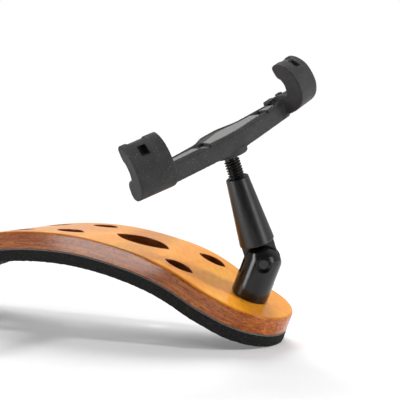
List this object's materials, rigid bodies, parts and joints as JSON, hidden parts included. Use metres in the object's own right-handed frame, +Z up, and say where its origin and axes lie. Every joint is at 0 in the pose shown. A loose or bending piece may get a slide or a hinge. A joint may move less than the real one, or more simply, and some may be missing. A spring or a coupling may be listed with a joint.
{
  "type": "violin shoulder rest",
  "caption": "Arched wooden shoulder rest on a foam pad, with swivelling, folding, screw-adjusted feet that carry rubber forks hooking onto a violin.",
  "frame": {"origin": "on the surface it stands on, under the middle of its box", "axes": "+X along the plate, +Y across it, +Z up away from the surface it stands on"},
  "size_m": [0.1958, 0.0966, 0.105],
  "materials": {
    "wood": "clear lacquered maple, honey orange with darker reddish streaks",
    "adhesive": "thin blue-grey double-sided sheet",
    "foam": "dense black closed-cell foam with a fine open grain",
    "black_anodised": "glossy black anodised",
    "satin_black": "satin black anodised",
    "black_oxide": "black oxide steel",
    "steel": "plain zinc-plated steel",
    "brass": "plain turned brass",
    "nylon": "dark nylon",
    "grip_rubber": "matt charcoal rubber with fine pale specks",
    "stiffener": "light grey matt plastic"
  },
  "bodies": {
    "plate": {"wood_body": "wood", "adhesive_sheet": "adhesive", "foam_pad": "foam", "right_swivel_washer": "nylon", "right_screw_washer": "steel", "left_swivel_washer": "nylon", "left_screw_washer": "steel"},
    "right_clevis": {"right_clevis": "black_anodised", "right_mounting_screw": "steel", "right_pivot_pin": "satin_black", "right_front_friction_washer": "steel", "right_back_friction_washer": "steel"},
    "right_arm": {"right_arm": "satin_black", "right_lock_ring": "nylon"},
    "right_bush": {"right_rod_bush": "brass"},
    "right_rod": {"right_rod": "black_oxide", "right_retaining_clip": "steel"},
    "right_fork": {"right_fork_grip": "grip_rubber", "right_fork_core": "stiffener"},
    "left_clevis": {"left_clevis": "black_anodised", "left_mounting_screw": "steel", "left_pivot_pin": "satin_black", "left_front_friction_washer": "steel", "left_back_friction_washer": "steel"},
    "left_arm": {"left_arm": "satin_black", "left_lock_ring": "nylon"},
    "left_bush": {"left_rod_bush": "brass"},
    "left_rod": {"left_rod": "black_oxide", "left_retaining_clip": "steel"},
    "left_fork": {"left_fork_grip": "grip_rubber", "left_fork_core": "stiffener"}
  },
  "joints": [
    {"name": "right_foot_swivel", "type": "hinge", "parent": "plate", "child": "right_clevis", "pos_m": [0.08244, 0.01647, 0.01674], "axis": [0.3778, 0, 0.9259], "continuous": true},
    {"name": "right_foot_fold", "type": "hinge", "parent": "right_clevis", "child": "right_arm", "pos_m": [0.08792, 0.01647, 0.03017], "axis": [0.4824, -0.8536, -0.1969], "range_deg": [-125, 54]},
    {"name": "right_fork_height", "type": "slide", "parent": "right_arm", "child": "right_bush", "axis": [-0.1678, -0.3106, 0.9356], "range_m": [-0.0064, 0.009]},
    {"name": "right_rod_turn", "type": "hinge", "parent": "right_bush", "child": "right_rod", "pos_m": [0.08251, 0.00646, 0.06029], "axis": [-0.1678, -0.3106, 0.9356], "range_deg": [-2334, 3270]},
    {"name": "right_fork_swivel", "type": "hinge", "parent": "right_bush", "child": "right_fork", "pos_m": [0.08088, 0.00345, 0.06937], "axis": [-0.1678, -0.3106, 0.9356], "continuous": true},
    {"name": "left_foot_swivel", "type": "hinge", "parent": "plate", "child": "left_clevis", "pos_m": [-0.08244, 0.01647, 0.01671], "axis": [-0.3778, 0, 0.9259], "continuous": true},
    {"name": "left_foot_fold", "type": "hinge", "parent": "left_clevis", "child": "left_arm", "pos_m": [-0.08792, 0.01647, 0.03014], "axis": [0.4824, 0.8536, 0.1969], "range_deg": [-125, 54]},
    {"name": "left_fork_height", "type": "slide", "parent": "left_arm", "child": "left_bush", "axis": [0.1678, -0.3106, 0.9356], "range_m": [-0.0064, 0.009]},
    {"name": "left_rod_turn", "type": "hinge", "parent": "left_bush", "child": "left_rod", "pos_m": [-0.08251, 0.00646, 0.06026], "axis": [0.1678, -0.3106, 0.9356], "range_deg": [-2334, 3270]},
    {"name": "left_fork_swivel", "type": "hinge", "parent": "left_bush", "child": "left_fork", "pos_m": [-0.08088, 0.00345, 0.06934], "axis": [0.1678, -0.3106, 0.9356], "continuous": true}
  ],
  "couplings": [
    {"joint": "right_rod_turn", "follows": "right_fork_height", "rad_per_m": 6283.2},
    {"joint": "left_rod_turn", "follows": "left_fork_height", "rad_per_m": 6283.2}
  ]
}
